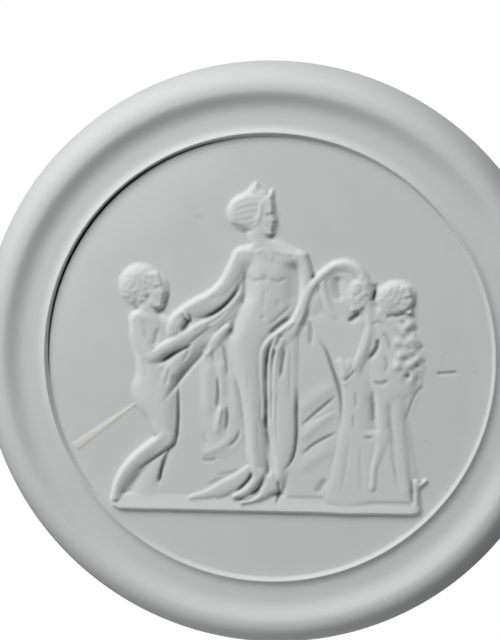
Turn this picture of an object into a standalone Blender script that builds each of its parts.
"""Round wall plaque of cast plaster, with a moulded rim and a low relief of a standing woman, a youth and
two children on a ledge.

The plaque hangs flat on a wall: its back lies in the plane y = 0, its front faces -Y, and +Z is up. The rim
is one turned profile, and the relief is a height field carved from limbs, ovals, sheets and grooves.
"""

import math

import bmesh
import bpy
import numpy as np
from mathutils import Vector

# Rim, in metres: heights are measured from the back towards the front
PLAQUE_DIAMETER = 0.330
EDGE_HEIGHT = 0.004
CREST_HEIGHT = 0.022
ROLL_WIDTH = 0.0153
ROLL_FULLNESS = 2.4
ROLL_DROP = 0.8
COVE_WIDTH = 0.0157
COVE_HEIGHT = 0.0175
COVE_RISE = 1.6
LIP_SLOPE = 0.0083
LIP_HEIGHT = 0.0196
LIP_FALL = 4.0
WALL_DRAFT = 0.0019
FIELD_HEIGHT = 0.0166
TURNED_STEPS = 88
ROLL_POINTS = 7
COVE_POINTS = 6
LIP_POINTS = 4

# Relief: the sketch's unit is a hundredth of the group's height, and a carving step a seventh of its depth
FIELD_RADIUS = PLAQUE_DIAMETER / 2 - ROLL_WIDTH - COVE_WIDTH - LIP_SLOPE - WALL_DRAFT
GROUP_HEIGHT = 1.496 * FIELD_RADIUS
GROUP_DEPTH = 0.0042
GROUP_RIGHT_OF_CENTRE = 0.0009
LEDGE_BELOW_CENTRE = 0.4714 * GROUP_HEIGHT
UNIT = GROUP_HEIGHT / 100
STEP = GROUP_DEPTH / 7
SKETCH_LEFT, SKETCH_RIGHT = -51, 51
SKETCH_LOW, SKETCH_HIGH = -3, 103
LEDGE_FOOT = 0
GRID_PER_UNIT = 2
SOFTENING = 0.25
SUNK_UNDER_FIELD = 0.00025
SLAB_THICKNESS = 0.006
RELIEF_TRIANGLES = 5600

PLASTER = (0.76, 0.76, 0.75, 1.0)
PLASTER_ROUGHNESS = 0.9


def smooth_path(points, pieces=8):
    """A smooth curve through the points, as rows of the same columns (Catmull-Rom)."""
    p = np.array(points, float)
    q = np.vstack([2 * p[0] - p[1], p, 2 * p[-1] - p[-2]])
    t = np.linspace(0, 1, pieces, endpoint=False)[:, None]
    rows = [
        0.5 * (2 * b + (c - a) * t + (2 * a - 5 * b + 4 * c - d) * t**2 + (3 * b - a - 3 * c + d) * t**3)
        for a, b, c, d in zip(q[:-3], q[1:-2], q[2:-1], q[3:])
    ]
    return np.vstack([*rows, p[-1:]])


class Carving:
    """A height field over the sketch. The field of the plaque is at height 0."""

    def __init__(self, u, v):
        self.u = u
        self.v = v
        self.height = np.zeros_like(u)

    def around(self, low, high, reach):
        """The indices of the points within reach of the box from low to high."""
        across = (self.u > low[0] - reach) & (self.u < high[0] + reach)
        return np.nonzero(across & (self.v > low[1] - reach) & (self.v < high[1] + reach))

    def along(self, path, reach):
        """The points near a path, how far off it they are, and how much that way runs down to the right.

        Last come rows of the path's other columns there and the share of it that is run.
        """
        at = self.around(path[:, :2].min(0), path[:, :2].max(0), reach)
        u, v = self.u[at], self.v[at]
        nearest = np.full(u.shape, np.inf)
        low_right = np.zeros(u.shape)
        found = np.zeros((len(u), path.shape[1] - 1))
        shares = np.linspace(0, 1, len(path))
        rows = np.column_stack([path, shares])
        for a, b in zip(rows[:-1], rows[1:]):
            side = b[:2] - a[:2]
            t = np.clip(((u - a[0]) * side[0] + (v - a[1]) * side[1]) / (side @ side), 0, 1)
            across, up = u - a[0] - t * side[0], v - a[1] - t * side[1]
            away = np.hypot(across, up)
            closer = away < nearest
            nearest = np.where(closer, away, nearest)
            low_right = np.where(closer, (across - up) / np.maximum(away, 1e-9) / math.sqrt(2), low_right)
            found[closer] = (a[2:] + t[:, None] * (b[2:] - a[2:]))[closer]
        return at, nearest, low_right, found

    def raise_to(self, at, tops, out, low_right=1.0, full=2.4, lean=0.0, foot=1.0):
        """Raises the field to the tops, by a share that falls as (1 - x^full)^foot from crest to edge.

        The crest leans to the upper left by lean, so that side is steeper and the other gentler.
        """
        lean = lean * np.abs(low_right)
        side = out * np.sign(low_right)
        x = np.where(side > -lean, (side + lean) / (1 + lean), (-side - lean) / (1 - lean))
        share = np.clip(1 - x**full, 0, 1) ** foot
        old = self.height[at]
        self.height[at] = old + np.maximum(tops - old, 0) * share

    def limb(self, points, top, full=2.6, lean=0.3, foot=1.0):
        """A rounded form along points of (u, v, half width), with its crest at top."""
        path = smooth_path(points)
        at, away, low_right, found = self.along(path, path[:, 2].max())
        tops = np.interp(found[:, 1], np.linspace(0, 1, np.size(top)), np.atleast_1d(top))
        self.raise_to(at, tops, away / found[:, 0], low_right, full, lean, foot)

    def oval(self, centre, half, top, turn=0, full=2.8, lean=0.3, foot=1.0):
        """A rounded oval form, turned anticlockwise by turn degrees."""
        at, out = self.in_oval(centre, half, turn, 1)
        across, up = self.u[at] - centre[0], self.v[at] - centre[1]
        low_right = (across - up) / np.maximum(np.hypot(across, up), 1e-9) / math.sqrt(2)
        self.raise_to(at, top, out, low_right, full, lean, foot)

    def in_oval(self, centre, half, turn, reach):
        """The points near an oval, and how far out each lies as a share of its half widths."""
        at = self.around(centre, centre, reach * max(half))
        across, up = self.u[at] - centre[0], self.v[at] - centre[1]
        cos, sin = math.cos(math.radians(turn)), math.sin(math.radians(turn))
        return at, np.hypot((across * cos + up * sin) / half[0], (up * cos - across * sin) / half[1])

    def sheet(self, outline, top, edge, fall=0):
        """A flat layer inside an outline, rounded over its edge, which falls towards the sketch's top."""
        p = np.array(outline, float)
        at = self.around(p.min(0), p.max(0), 0)
        u, v = self.u[at], self.v[at]
        away = np.full(u.shape, np.inf)
        inside = np.zeros(u.shape, bool)
        for a, b in zip(p, np.roll(p, -1, axis=0)):
            side = b - a
            t = np.clip(((u - a[0]) * side[0] + (v - a[1]) * side[1]) / (side @ side), 0, 1)
            away = np.minimum(away, np.hypot(u - a[0] - t * side[0], v - a[1] - t * side[1]))
            if side[1]:
                inside ^= ((a[1] > v) != (b[1] > v)) & (u < side[0] * (v - a[1]) / side[1] + a[0])
        self.raise_to(at, top - fall * (v - p[:, 1].min()), np.clip(1 - away * inside / edge, 0, 1))

    def groove(self, points, depth, ends=0.25):
        """A groove along points of (u, v, half width), which fades out over its ends."""
        path = smooth_path(points)
        at, away, _, found = self.along(path, 3 * path[:, 2].max())
        x = away / found[:, 0]
        fade = np.clip(np.minimum(found[:, 1], 1 - found[:, 1]) / ends, 0, 1)
        self.height[at] -= depth * np.exp(-1.2 * x**2) * fade**2 * (3 - 2 * fade)

    def fold(self, points, rise):
        """A soft ridge of cloth along points of (u, v, half width)."""
        self.groove(points, -rise)

    def swell(self, centre, half, rise, turn=0):
        """A soft rise, or with a negative rise a soft hollow."""
        at, x = self.in_oval(centre, half, turn, 2.6)
        self.height[at] += rise * np.exp(-1.2 * x**2)

    def soften(self, reach):
        """Blurs the field a little, as casting softens a carving, with the reach given in grid steps."""
        self.height = blurred(self.height, reach)


def blurred(field, reach):
    """The field blurred by a bell curve of that reach, in grid steps."""
    around = np.arange(-math.ceil(3 * reach), math.ceil(3 * reach) + 1)
    weights = np.exp(-0.5 * (around / reach) ** 2)
    weights /= weights.sum()
    for axis in (0, 1):
        field = sum(w * np.roll(field, k, axis) for k, w in zip(around, weights))
    return field


def carve_ground(carving):
    """The layers that the figures grow out of."""
    between = ((-37, 4), (-30, 20), (-28.4, 40), (-21, 50), (-12, 56), (-5, 50), (-5, 4))
    carving.sheet(between, 1.7, 2.2)
    beside = (
        (4, 4), (6, 57), (10, 58), (12, 66), (16.4, 73.4), (23, 76.6), (28.4, 74), (31, 66), (31, 40),
        (26, 24), (26, 4),
    )
    carving.sheet(beside, 2.4, 2.4)
    arms = (
        (-38, 61), (-36, 50), (-34, 44), (-28, 41), (-20, 50), (-13, 54), (-8, 62), (-7.6, 73), (-13, 67),
        (-24, 62), (-30, 60),
    )
    carving.sheet(arms, 2.6, 2.6)
    second = (
        (28, 66), (31.6, 70), (38, 70), (43, 66), (44, 57), (47, 47), (45.6, 38), (42, 30), (44.6, 14),
        (44.6, 4), (25, 4), (27, 40),
    )
    carving.sheet(second, 1.5, 4)
    carving.sheet(((28, 64), (40, 65), (43, 58), (45.6, 46), (43.6, 38), (37, 33), (28, 36)), 2.7, 4)


def carve_ledge(carving):
    """The ledge that the group stands on, whose front leans back, and the stub at its right end."""
    outline = (
        (-46.2, 0.1), (-48, 1), (-49, 3), (-48, 5), (-44, 5.6), (0, 5.8), (43.2, 5), (46, 2.6), (45.6, 0.9),
        (43, 0.2),
    )
    carving.sheet(outline, 4.9, 0.9, fall=0.6)
    carving.limb(((44.6, 2.5, 1.2), (44.5, 6, 1.1), (44.3, 9.4, 1.2)), (3.8, 3.2))
    carving.limb(((44.2, 10.4, 0.9), (45.2, 9.4, 1), (47.2, 10.9, 0.7)), (3.4, 2.4))
    carving.height[carving.v < LEDGE_FOOT] = 0


def carve_cloth_behind(carving):
    """The cloth that hangs between the woman and the youth, and the swags between her and the children."""
    fall = (
        (-21.4, 48), (-12.4, 56), (-9.4, 40), (-7, 24), (-9.5, 18.5), (-14, 16.4), (-20.6, 17), (-21, 30),
    )
    carving.sheet(fall, 2.6, 3.4)
    carving.fold(((-18.6, 47, 1.5), (-18.9, 38, 1.8), (-18.2, 29, 1.5)), 1)
    carving.fold(((-15, 47, 1.1), (-14.6, 42, 1.3), (-14.2, 35, 1)), 1)
    carving.fold(((-11.2, 46, 1.1), (-10.6, 36, 1.4), (-9.8, 26, 1.2)), 0.8)
    carving.fold(((-14.4, 33.4, 0.7), (-15.4, 29, 1.2), (-15.8, 23.4, 1.1)), 1.4)
    carving.fold(((-11, 25.6, 1.1), (-13, 21.8, 1.2), (-17.4, 19, 1.1), (-20.6, 18.6, 0.9)), 0.7)
    taken = ((-19, 57, 1.9), (-23.2, 51.8, 2.6), (-27.2, 47, 2.9), (-30.4, 41.6, 2.8), (-33.2, 35.6, 2.2))
    carving.limb(taken, (3.4, 4, 4.4), foot=2)
    carving.limb(((-9.6, 66, 1.4), (-13.8, 60.8, 1.8), (-18.4, 57.6, 1.9), (-22.8, 56.2, 1.4)), 3.8, foot=2)
    carving.limb(((-12.6, 56.6, 1.4), (-15.6, 53, 1.9), (-18.8, 49, 1.6)), (4.6, 3.4), foot=1.5)
    carving.fold(((8.6, 31, 1.4), (14, 36, 2.2), (20.4, 40.6, 1.6)), 0.7)
    carving.fold(((9, 22.6, 1.3), (14, 27.4, 1.8), (20.6, 32.6, 1.7)), 0.9)
    carving.fold(((8.4, 13, 1.6), (13.6, 17.4, 2), (20, 21.4, 1.6)), 0.7)


def carve_woman(carving):
    """The standing woman: her weight is on the near leg, and one arm reaches down to the youth."""
    skirt = ((6.6, 57, 2.4), (5.4, 51, 3.6), (3.8, 44, 4.9), (3.4, 36, 5.1), (3.4, 28, 5), (3.6, 22, 4.5))
    carving.limb((*skirt, (3, 15, 3.4), (2, 8.6, 2.6)), (4, 4.4, 4.2), lean=-0.1)
    body = (
        (0, 77, 7.7), (0.4, 72, 7.9), (0.4, 68, 7.8), (0, 64, 8), (-1.4, 60, 8.2), (-3, 56, 8.3),
        (-4.6, 52, 8), (-5.3, 48, 6.9), (-5.3, 44, 5.8), (-5, 40, 4.9), (-4.5, 34, 3.9), (-4, 26, 3.4),
        (-3.7, 18, 3.2), (-3.3, 12.6, 2.8),
    )
    carving.limb(body, (4.2, 4.8, 5.4, 5.6, 5.2, 5.2), full=2.4, lean=0.4)
    train = ((-5.6, 13.6, 1.8), (-8.4, 10.4, 2.8), (-13, 7.6, 3), (-18, 5.4, 2.2), (-23.6, 4.2, 1.2))
    carving.limb(train, (3.6, 3.4), lean=0.5, foot=1.6)
    carving.limb(((0.8, 10.4, 2.6), (-0.6, 7, 2.6), (-3.6, 4.8, 1.8), (-8, 3.4, 1.2)), (4.6, 5.4))
    carving.limb(((-2.8, 12, 2.3), (-4.6, 8.9, 2.2), (-7.4, 6.3, 1.8), (-10.2, 5, 1.2)), (5, 5.6), foot=1.5)
    carving.limb(((-7.2, 78.4, 3.4), (0.4, 79.6, 4.2), (8, 77.6, 3.2)), 3.8, foot=2)
    carving.limb(((-2, 79.6, 3.6), (-3.4, 85, 3.4)), (4, 4.4), lean=0)
    crown = (
        (-11.6, 88), (-12.6, 92), (-11.4, 95), (-8, 97), (-5.6, 99.4), (-3.8, 100.8), (-2.6, 98.6),
        (-0.8, 97.4), (1.3, 98.9), (1.6, 94), (0, 88), (-6, 86),
    )
    carving.sheet(crown, 3.6, 2)
    carving.oval((-6, 91.4), (7, 6), 5.2, turn=16, lean=0.5)
    carving.oval((-1.7, 89.4), (4.1, 6), 5, turn=4, full=2.4)
    arm = (
        (-8.2, 77.8, 3.2), (-10.4, 73.2, 3.1), (-12.8, 68.8, 3.2), (-16.6, 65.2, 3.2), (-21.2, 63, 2.9),
        (-25, 61, 2.6), (-27.4, 59, 2.5),
    )
    carving.limb(arm, (4.4, 5, 5.2), full=2.2, lean=0.5)
    carving.oval((-28, 57), (2.9, 4.8), 5.6, turn=-18, full=2.4)
    far_arm = ((9.4, 77.8, 2.2), (11, 73, 2), (11, 67, 1.9), (9.4, 61.6, 1.9), (6.8, 57.4, 1.7))
    carving.limb(far_arm, (3.4, 3.6, 4.2))
    for across in (-4, 2.6):
        carving.swell((across, 73.6), (2.9, 3), 0.7)
    carving.swell((-1.8, 57), (4, 5), 0.4)
    carving.swell((-1.4, 71.6), (1, 1), -0.8)


def carve_veil(carving):
    """The veil that the woman gathers at her hip, which runs in an arc over the first child."""
    arc = (
        (2.4, 50.6, 1.2), (4.8, 53.4, 1.6), (8, 57, 1.8), (9.8, 61.2, 1.7), (11, 65.4, 1.8),
        (13.4, 69.6, 1.9),
    )
    over = (
        (16.8, 73.2, 1.9), (20.6, 75.6, 1.9), (24.4, 75.4, 1.9), (27.6, 72.8, 1.9), (29, 68.4, 1.8),
        (29.7, 63.4, 1.7),
    )
    down = ((30.2, 58, 1.6), (28.9, 52.6, 1.8), (27.4, 48, 1.9), (25.4, 43.8, 1.9), (23.2, 40.4, 1.4))
    carving.limb((*arc, *over, *down), (4.8, 5, 5, 4.6, 4, 3.8, 4.2, 4.6, 4.2), full=2.4, foot=1.3)
    carving.limb(((15.8, 71, 1.3), (16.6, 67, 1.4), (17.8, 63, 1.5), (19.4, 60.6, 1.2)), (4, 3.4), foot=1.6)
    carving.oval((13.6, 64.6), (2.6, 4.2), 3, turn=-20, foot=2)
    gathered = (
        (7, 58.2, 1.2), (3.4, 55.4, 1.6), (0, 52.8, 1.7), (-1.9, 49.6, 1.5), (-2.4, 46, 1.3), (-2.2, 41, 1),
    )
    carving.limb(gathered, (5.4, 6, 5.8, 5), full=2.2)
    carving.limb(((2.8, 51, 1.1), (1.7, 47, 1.3), (1.7, 41, 1)), (5.4, 5), full=2.2)


def carve_children(carving):
    """Two children: the first in a long gown under the veil, the second bare-legged beside a cluster."""
    chest = (
        (12, 60), (17, 62), (22, 60.6), (29, 60), (30, 54), (28, 48), (24.6, 41.4), (21.4, 40), (18, 47),
        (13.4, 54),
    )
    carving.sheet(chest, 3, 3.4)
    gown = ((24.6, 45, 3.4), (25.8, 38, 4.5), (26.4, 30, 4.9), (26, 22, 5.2), (25, 12, 6.6), (24.2, 4, 8.2))
    carving.limb(gown, (3.8, 3.6, 3.4), full=2.8, foot=1.2)
    carving.oval((24.6, 66.2), (5, 6.2), 4.6, turn=-12, full=2.4, foot=1.3)
    carving.limb(((33.8, 59, 4.6), (35.6, 52, 6), (35.6, 45, 6), (35, 37, 5)), (3.8, 3.4), foot=2)
    carving.oval((38, 66.2), (6.3, 5.4), 5.2, turn=14, lean=0.4)
    leg = (
        (34, 40, 2.4), (34.2, 31, 2.4), (34.4, 24.6, 2.1), (33.2, 19.4, 1.5), (31.8, 14.6, 1.1),
        (31.4, 8.6, 1),
    )
    carving.limb(leg, (3.4, 3.6, 3.6), foot=1.3)
    carving.limb(((38.6, 34, 3), (40, 25, 3), (41.6, 15, 2.6), (42.4, 6, 2)), (2.3, 1.8), foot=2)
    for k in range(12):
        turn, out = 2.4 * k, math.sqrt(k / 12)
        carving.swell((41 + 3.4 * out * math.cos(turn), 49.6 + 10 * out * math.sin(turn)), (1.3, 1.4), 0.9)


def carve_youth(carving):
    """The youth, bare, who steps up to the woman: one elbow is low, and that hand holds her cloth."""
    carving.limb(((-31.4, 20, 2), (-34.6, 14.5, 2.6), (-37.4, 9, 3.6), (-38.4, 4, 4.6)), 2.2, lean=-0.3)
    shin = (
        (-31.4, 22, 2.9), (-35.6, 18.9, 3.1), (-40.6, 14.6, 3), (-44.3, 10.2, 2.5), (-46.2, 6.4, 2),
        (-46.8, 3.6, 1.9),
    )
    carving.limb(shin, (4.8, 5.2), full=2, lean=0.5)
    trunk = (
        (-37.4, 58, 4.9), (-37.5, 54, 5.1), (-37.2, 50, 4.3), (-36.4, 46, 4.4), (-35.4, 42, 5.8),
        (-34.9, 38, 7.2), (-34.2, 34.6, 6.9), (-32.8, 30, 5), (-31.9, 26, 4), (-31.1, 22.4, 3),
    )
    carving.limb(trunk, (4.8, 4.6, 4.8, 5.2, 5), full=2.4, lean=0.3)
    carving.limb(((-36.6, 58.6, 3.4), (-37, 64, 3.2)), 4, foot=1.4)
    carving.oval((-38.8, 69), (6.9, 6.9), 5.6, turn=20, lean=0.4)
    carving.oval((-34.4, 67), (4.2, 5.9), 4.8, turn=-12, full=2.4)
    carving.limb(((-39.6, 58.6, 3.2), (-39, 53, 2.9), (-36.6, 48.4, 2.2)), (5.6, 5.8), foot=1.5)
    forearm = (
        (-35.6, 47.4, 1.8), (-31.6, 50, 2.1), (-27.4, 52.4, 2.1), (-23.4, 54.8, 1.9), (-19.6, 57.6, 1.5),
    )
    carving.limb(forearm, (6, 5.8, 5.2))


def cut_grooves(carving):
    """The deep lines that part limbs from cloth and from the ground."""
    knee = ((-27.4, 41, 0.45), (-27.6, 36, 0.45), (-27.7, 28, 0.5), (-28.5, 22, 0.45), (-30.4, 19.6, 0.45))
    carving.groove((*knee, (-37.4, 14.6, 0.45), (-43.8, 9.4, 0.45)), 2.6)
    carving.groove(((-30.4, 19.6, 0.4), (-32.4, 14.6, 0.4), (-33.8, 8.4, 0.5)), 2.4, ends=0.12)
    carving.groove(((-34.6, 44.8, 0.5), (-30.6, 47.3, 0.6), (-26.4, 49.8, 0.5), (-22.8, 51.6, 0.4)), 2.6)
    carving.groove(((-16.8, 52.8, 0.5), (-20.4, 48.4, 0.7), (-26, 42, 0.6), (-32.4, 33.4, 0.7)), 2.6)
    carving.groove(
        ((-8, 72.4, 0.5), (-10, 67.4, 0.6), (-13.4, 63.4, 0.5), (-17.4, 60.6, 0.5), (-22.4, 58.8, 0.4)), 2.6
    )
    carving.groove(((-23.6, 60.8, 0.8), (-25, 58, 0.9), (-26.8, 55, 0.4)), 3)
    carving.groove(((-34.2, 60, 0.6), (-31.8, 63.2, 0.6), (-30.2, 67.8, 0.5)), 2.4)
    carving.groove(((-40, 62.6, 1), (-37.4, 64.6, 1.1), (-36.2, 67, 0.8)), 1.2)
    carving.groove(((11, 79.8, 0.35), (12.6, 75.4, 0.4), (13.2, 71.2, 0.45)), 1.6)
    carving.groove(((-0.6, 54.4, 0.45), (2.8, 57.6, 0.6), (6.8, 60.4, 0.5)), 1.8)
    carving.groove(((0.1, 50, 0.45), (-0.2, 45, 0.5), (-0.6, 41, 0.4)), 1.8)
    carving.groove(((4.7, 51.2, 0.5), (3.8, 46, 0.6), (3.2, 41, 0.45)), 2.4)
    channel = (
        (-1.2, 41, 0.6), (-0.9, 34, 0.8), (-1, 28, 0.8), (0.1, 21, 0.7), (1.4, 14, 0.6), (2.4, 9, 0.5),
    )
    carving.groove(channel, 2)
    carving.groove(((2.6, 10.6, 0.5), (3.1, 7.4, 0.5), (2.2, 2.4, 0.4)), 2.6)
    skirt_edge = ((8.7, 41, 0.5), (8.3, 32, 0.5), (8.3, 24, 0.45), (7.2, 17.4, 0.4), (4, 12.2, 0.4))
    carving.groove(skirt_edge, 2.4)
    carving.groove(((-4.8, 13.2, 0.4), (-6.4, 10, 0.45), (-10.6, 5.8, 0.4)), 2.2)
    carving.groove(((-2, 7.8, 0.4), (-4, 5.6, 0.45), (-6.4, 4.3, 0.45), (-10.6, 3.8, 0.35)), 2.4)
    carving.groove(((11.8, 59.6, 0.7), (12.6, 55.6, 0.8), (12.2, 51, 0.6)), 1.4)
    side = (
        (13.4, 55.6, 0.4), (17.2, 50, 0.5), (19.2, 44.4, 0.5), (21, 39, 0.7), (21.8, 34, 0.5),
        (21.8, 24, 0.5),
    )
    carving.groove(side, 2.4)
    carving.groove(((9, 26.4, 0.4), (14.6, 31.6, 0.45), (20.8, 37, 0.45)), 1.4)
    carving.groove(((9.6, 17.8, 0.4), (14, 21.8, 0.45), (21.4, 25.8, 0.45)), 1.4)
    carving.groove(((19.4, 72.6, 1), (19, 69, 1.2), (19.7, 65, 0.9)), 2.2)
    carving.groove(((23.4, 58.8, 0.6), (25.4, 60.2, 0.8), (27.4, 62.2, 0.5)), 2.6)
    carving.groove(((31.9, 70.8, 0.6), (31.4, 67.4, 0.5), (30.4, 64.6, 0.6)), 2.8)
    carving.groove(((34.8, 61.4, 0.5), (39, 61.2, 0.6), (43, 64.4, 0.6), (43.6, 68, 0.5)), 1.8)
    carving.groove(((32.6, 54.4, 0.6), (32.2, 51, 0.7), (29.4, 47.2, 0.5)), 2.6)
    carving.groove(((22.4, 40.4, 0.4), (24.6, 42.8, 0.4), (26, 44.6, 0.35)), 1.4)
    carving.groove(((31.4, 39.6, 0.8), (31.4, 32, 0.9), (31.4, 24, 0.8)), 1.8)
    carving.groove(((46.6, 40.4, 0.4), (43.6, 36.4, 0.5), (40.6, 27.8, 0.4)), 1)
    carving.groove(((37, 26, 0.5), (39.6, 18, 0.5), (42.4, 9, 0.5)), 0.8)


def relief_slab(material):
    """The relief as a closed slab, sunk into the field so that only the group stands out of it."""
    across = (SKETCH_RIGHT - SKETCH_LEFT) * GRID_PER_UNIT
    upward = (SKETCH_HIGH - SKETCH_LOW) * GRID_PER_UNIT
    sheet = bmesh.new()
    bmesh.ops.create_grid(sheet, x_segments=across, y_segments=upward, size=0.5)
    places = np.array([vertex.co[:2] for vertex in sheet.verts]) + 0.5
    places = np.round(places * (across, upward)).astype(int)
    columns = np.linspace(SKETCH_LEFT, SKETCH_RIGHT, across + 1)
    rows = np.linspace(SKETCH_LOW, SKETCH_HIGH, upward + 1)
    u, v = np.meshgrid(columns, rows)
    carving = Carving(u, v)
    carve_ground(carving)
    carve_cloth_behind(carving)
    carve_woman(carving)
    carve_veil(carving)
    carve_children(carving)
    carve_youth(carving)
    carve_ledge(carving)
    cut_grooves(carving)
    carving.height = np.maximum(carving.height, 0)
    carving.soften(SOFTENING * GRID_PER_UNIT)
    front = FIELD_HEIGHT - SUNK_UNDER_FIELD + carving.height * STEP
    for vertex, (i, j) in zip(sheet.verts, places):
        across_wall = u[j, i] * UNIT + GROUP_RIGHT_OF_CENTRE
        vertex.co = Vector((across_wall, -front[j, i], v[j, i] * UNIT - LEDGE_BELOW_CENTRE))
    rim = [edge for edge in sheet.edges if edge.is_boundary]
    made = bmesh.ops.extrude_edge_only(sheet, edges=rim)["geom"]
    for vertex in made:
        if isinstance(vertex, bmesh.types.BMVert):
            vertex.co.y = -(FIELD_HEIGHT - SLAB_THICKNESS)
    bmesh.ops.contextual_create(sheet, geom=[edge for edge in made if isinstance(edge, bmesh.types.BMEdge)])
    bmesh.ops.recalc_face_normals(sheet, faces=sheet.faces)
    bmesh.ops.triangulate(sheet, faces=sheet.faces)
    slab = new_object("relief_slab", sheet, material, helpers())
    slab.hide_render = True
    slab.display_type = "WIRE"
    fewer = slab.modifiers.new("Fewer faces", "DECIMATE")
    fewer.ratio = RELIEF_TRIANGLES / len(slab.data.polygons)
    return slab


def rim_profile():
    """The turned profile as (radius, height) points, from the back's middle to the field's middle.

    The roll falls to the edge as (1 - t^fullness)^drop. The cove rises to the crest as
    sin(90 degrees x t^rise)^2, and the slope inside it falls away from the lip as (1 - t)^fall.
    """
    outer = PLAQUE_DIAMETER / 2
    crest = outer - ROLL_WIDTH
    low = crest - COVE_WIDTH
    lip = FIELD_RADIUS + WALL_DRAFT
    points = [(0, 0), (outer, 0), (outer, EDGE_HEIGHT)]
    for k in range(1, ROLL_POINTS + 1):
        t = math.cos(k / ROLL_POINTS * math.pi / 2)
        share = (1 - t**ROLL_FULLNESS) ** ROLL_DROP
        points.append((crest + ROLL_WIDTH * t, EDGE_HEIGHT + (CREST_HEIGHT - EDGE_HEIGHT) * share))
    for k in range(1, COVE_POINTS + 1):
        t = 1 - k / COVE_POINTS
        share = math.sin(math.pi / 2 * t**COVE_RISE) ** 2
        points.append((low + COVE_WIDTH * t, COVE_HEIGHT + (CREST_HEIGHT - COVE_HEIGHT) * share))
    for k in range(1, LIP_POINTS + 1):
        t = 1 - k / LIP_POINTS
        share = (1 - t) ** LIP_FALL
        points.append((lip + LIP_SLOPE * t, COVE_HEIGHT + (LIP_HEIGHT - COVE_HEIGHT) * share))
    points.append((FIELD_RADIUS, FIELD_HEIGHT))
    points.append((0, FIELD_HEIGHT))
    return points


def plaque(material):
    """The cast plaque: the turned rim and field, joined to the relief."""
    outline = bmesh.new()
    corners = [outline.verts.new((radius, -height, 0)) for radius, height in rim_profile()]
    for a, b in zip(corners[:-1], corners[1:]):
        outline.edges.new((a, b))
    body = new_object("plaque", outline, material, parts())
    turning = body.modifiers.new("Turned rim", "SCREW")
    turning.axis = "Y"
    turning.angle = 2 * math.pi
    turning.steps = TURNED_STEPS
    turning.render_steps = TURNED_STEPS
    turning.use_merge_vertices = True
    turning.merge_threshold = 0.00001
    turning.use_normal_calculate = True
    joined = body.modifiers.new("Relief", "BOOLEAN")
    joined.operation = "UNION"
    joined.solver = "EXACT"
    joined.object = relief_slab(material)
    return body


def new_object(name, shape, material, collection):
    mesh = bpy.data.meshes.new(name)
    shape.to_mesh(mesh)
    shape.free()
    mesh.shade_smooth()
    mesh.materials.append(material)
    made = bpy.data.objects.new(name, mesh)
    collection.objects.link(made)
    return made


def collection_named(name):
    if name not in bpy.data.collections:
        bpy.context.scene.collection.children.link(bpy.data.collections.new(name))
    return bpy.data.collections[name]


def parts():
    return collection_named("Wall plaque")


def helpers():
    return collection_named("Helpers")


def plaster():
    material = bpy.data.materials.new("Plaster")
    material.use_nodes = True
    shader = material.node_tree.nodes["Principled BSDF"]
    shader.inputs["Base Color"].default_value = PLASTER
    shader.inputs["Roughness"].default_value = PLASTER_ROUGHNESS
    shader.inputs["Metallic"].default_value = 0.0
    material.diffuse_color = PLASTER
    return material


def main():
    for old in list(bpy.data.objects):
        bpy.data.objects.remove(old, do_unlink=True)
    plaque(plaster())


main()
